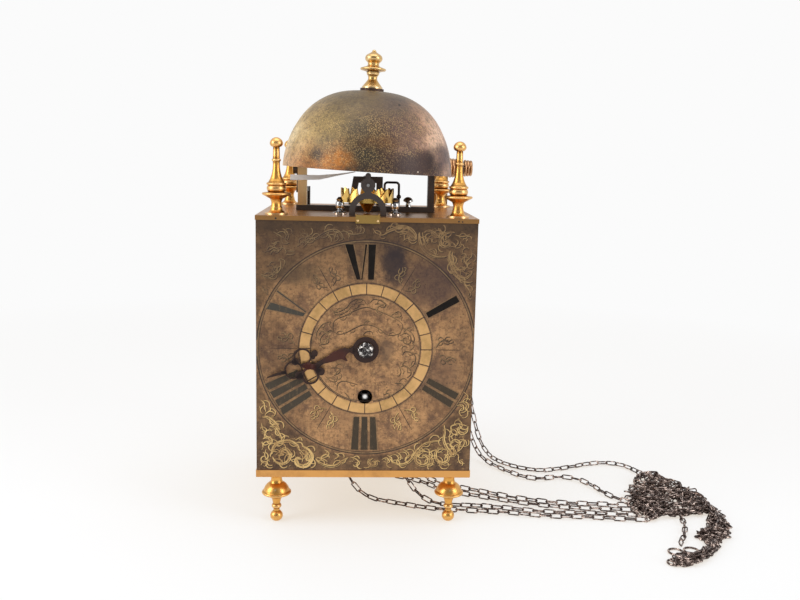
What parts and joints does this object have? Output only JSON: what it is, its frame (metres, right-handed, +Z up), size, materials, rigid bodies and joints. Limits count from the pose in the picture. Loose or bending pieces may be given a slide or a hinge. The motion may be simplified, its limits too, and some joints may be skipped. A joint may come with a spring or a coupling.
{
  "type": "lantern clock",
  "caption": "Brass lantern clock with an engraved dial, single iron hand, bell on an iron stand, verge with short bob pendulum, strike train and loose iron chains",
  "frame": {"origin": "on the surface the clock stands on, midway between its four feet", "axes": "+Z up, -Y towards the viewer of the dial, +X to the right of the dial"},
  "size_m": [0.405, 0.272, 0.3821],
  "materials": {
    "bright_brass": "cast and turned brass, polished, warm gold",
    "brass": "turned brass, lightly aged",
    "aged_brass": "engraved sheet brass with brown patina",
    "steel": "filed and polished steel",
    "iron": "forged iron, dark",
    "rusted_iron": "forged iron with rust-brown patina",
    "bell_metal": "cast bell metal, mottled olive, brown and purple patina",
    "black_wax": "black sealing wax in engraved numerals",
    "chain_iron": "oiled iron wire chain"
  },
  "bodies": {
    "case": {"bottom_plate": "bright_brass", "top_plate": "bright_brass", "corner_pillars": "brass", "foot_front_left": "bright_brass", "foot_front_right": "bright_brass", "foot_rear_left": "bright_brass", "foot_rear_right": "bright_brass", "finial_front_left": "bright_brass", "finial_front_right": "bright_brass", "finial_rear_left": "bright_brass", "finial_rear_right": "bright_brass", "dial_plate": "aged_brass", "dial_numerals": "black_wax", "dial_catch": "bright_brass", "back_plate": "aged_brass", "bell_stand": "iron", "bell_stand_left_post": "bright_brass", "bell": "bell_metal", "bell_washer": "iron", "bell_nut": "bright_brass", "front_bar": "brass", "centre_bar": "brass", "rear_bar": "brass", "verge_front_cock": "iron", "verge_rear_cock": "iron", "steel_columns": "steel", "wire_staple": "iron", "stand_screw": "steel", "hour_post": "steel", "hammer_spring": "steel", "alarm_bracket": "brass", "wall_hoop": "iron", "wall_spurs": "iron", "going_chain": "chain_iron", "strike_chain": "chain_iron", "alarm_chain": "chain_iron", "chain_pile": "chain_iron"},
    "going_great": {"going_great_wheel": "brass", "going_great_arbor": "steel"},
    "second": {"second_wheel": "brass"},
    "contrate": {"contrate_wheel": "brass"},
    "crown": {"crown_arbor": "steel", "crown_wheel": "bright_brass"},
    "hour": {"hour_wheel": "brass", "hand": "rusted_iron", "hand_collet": "steel"},
    "escapement": {"verge": "steel", "pendulum": "iron"},
    "strike_great": {"strike_great_wheel": "brass"},
    "hoop": {"hoop_wheel": "brass"},
    "warning": {"warning_wheel": "brass"},
    "fly_and_arbor": {"fly": "brass"},
    "count": {"count_wheel": "brass"},
    "hammer_and_arbor": {"hammer": "iron"},
    "detent_and_arbor": {"detent": "iron"},
    "left_door_leaf": {"left_door": "aged_brass", "left_door_knob": "bright_brass"},
    "right_door_leaf": {"right_door": "aged_brass", "right_door_knob": "bright_brass"},
    "alarm_spool": {"alarm_drum": "brass"}
  },
  "joints": [
    {"name": "going_great_turn", "type": "hinge", "parent": "case", "child": "going_great", "pos_m": [0, -0.028, 0.1087], "axis": [0, 1, 0], "continuous": true},
    {"name": "second_turn", "type": "hinge", "parent": "case", "child": "second", "pos_m": [0, -0.033, 0.1591], "axis": [0, 1, 0], "continuous": true},
    {"name": "contrate_turn", "type": "hinge", "parent": "case", "child": "contrate", "pos_m": [0, -0.033, 0.1871], "axis": [0, 1, 0], "continuous": true},
    {"name": "crown_turn", "type": "hinge", "parent": "case", "child": "crown", "pos_m": [0, -0.04, 0.2737], "axis": [0, 0, 1], "continuous": true},
    {"name": "hour_turn", "type": "hinge", "parent": "case", "child": "hour", "pos_m": [0, -0.076, 0.1471], "axis": [0, 1, 0], "continuous": true},
    {"name": "verge_swing", "type": "hinge", "parent": "case", "child": "escapement", "pos_m": [0, 0, 0.2737], "axis": [0, 1, 0], "range_deg": [-8, 8]},
    {"name": "strike_great_turn", "type": "hinge", "parent": "case", "child": "strike_great", "pos_m": [0, 0.028, 0.1087], "axis": [0, 1, 0], "continuous": true},
    {"name": "hoop_turn", "type": "hinge", "parent": "case", "child": "hoop", "pos_m": [0, 0.026, 0.1582], "axis": [0, 1, 0], "continuous": true},
    {"name": "warning_turn", "type": "hinge", "parent": "case", "child": "warning", "pos_m": [0, 0.026, 0.1825], "axis": [0, 1, 0], "continuous": true},
    {"name": "fly_turn", "type": "hinge", "parent": "case", "child": "fly_and_arbor", "pos_m": [0, 0.026, 0.2017], "axis": [0, 1, 0], "continuous": true},
    {"name": "count_turn", "type": "hinge", "parent": "case", "child": "count", "pos_m": [0, 0.061, 0.1335], "axis": [0, 1, 0], "continuous": true},
    {"name": "hammer_swing", "type": "hinge", "parent": "case", "child": "hammer_and_arbor", "pos_m": [-0.052, 0.038, 0.15], "axis": [0, 0, 1], "range_deg": [-5, 14]},
    {"name": "detent_lift", "type": "hinge", "parent": "case", "child": "detent_and_arbor", "pos_m": [0.03, 0, 0.19], "axis": [0, -1, 0], "range_deg": [0, 7]},
    {"name": "left_door_swing", "type": "hinge", "parent": "case", "child": "left_door_leaf", "pos_m": [-0.0832, -0.0812, 0.147], "axis": [0, 0, 1], "range_deg": [0, 95]},
    {"name": "right_door_swing", "type": "hinge", "parent": "case", "child": "right_door_leaf", "pos_m": [0.0832, -0.0812, 0.147], "axis": [0, 0, -1], "range_deg": [0, 95]},
    {"name": "alarm_turn", "type": "hinge", "parent": "case", "child": "alarm_spool", "pos_m": [0.08, 0.098, 0.286], "axis": [1, 0, 0], "continuous": true}
  ],
  "couplings": [
    {"joint": "second_turn", "follows": "going_great_turn", "ratio": -8},
    {"joint": "contrate_turn", "follows": "going_great_turn", "ratio": 56},
    {"joint": "crown_turn", "follows": "going_great_turn", "ratio": 336},
    {"joint": "hour_turn", "follows": "going_great_turn", "ratio": -0.16667},
    {"joint": "hoop_turn", "follows": "strike_great_turn", "ratio": -10},
    {"joint": "warning_turn", "follows": "strike_great_turn", "ratio": 80},
    {"joint": "fly_turn", "follows": "strike_great_turn", "ratio": -560},
    {"joint": "count_turn", "follows": "strike_great_turn", "ratio": -0.47619}
  ]
}
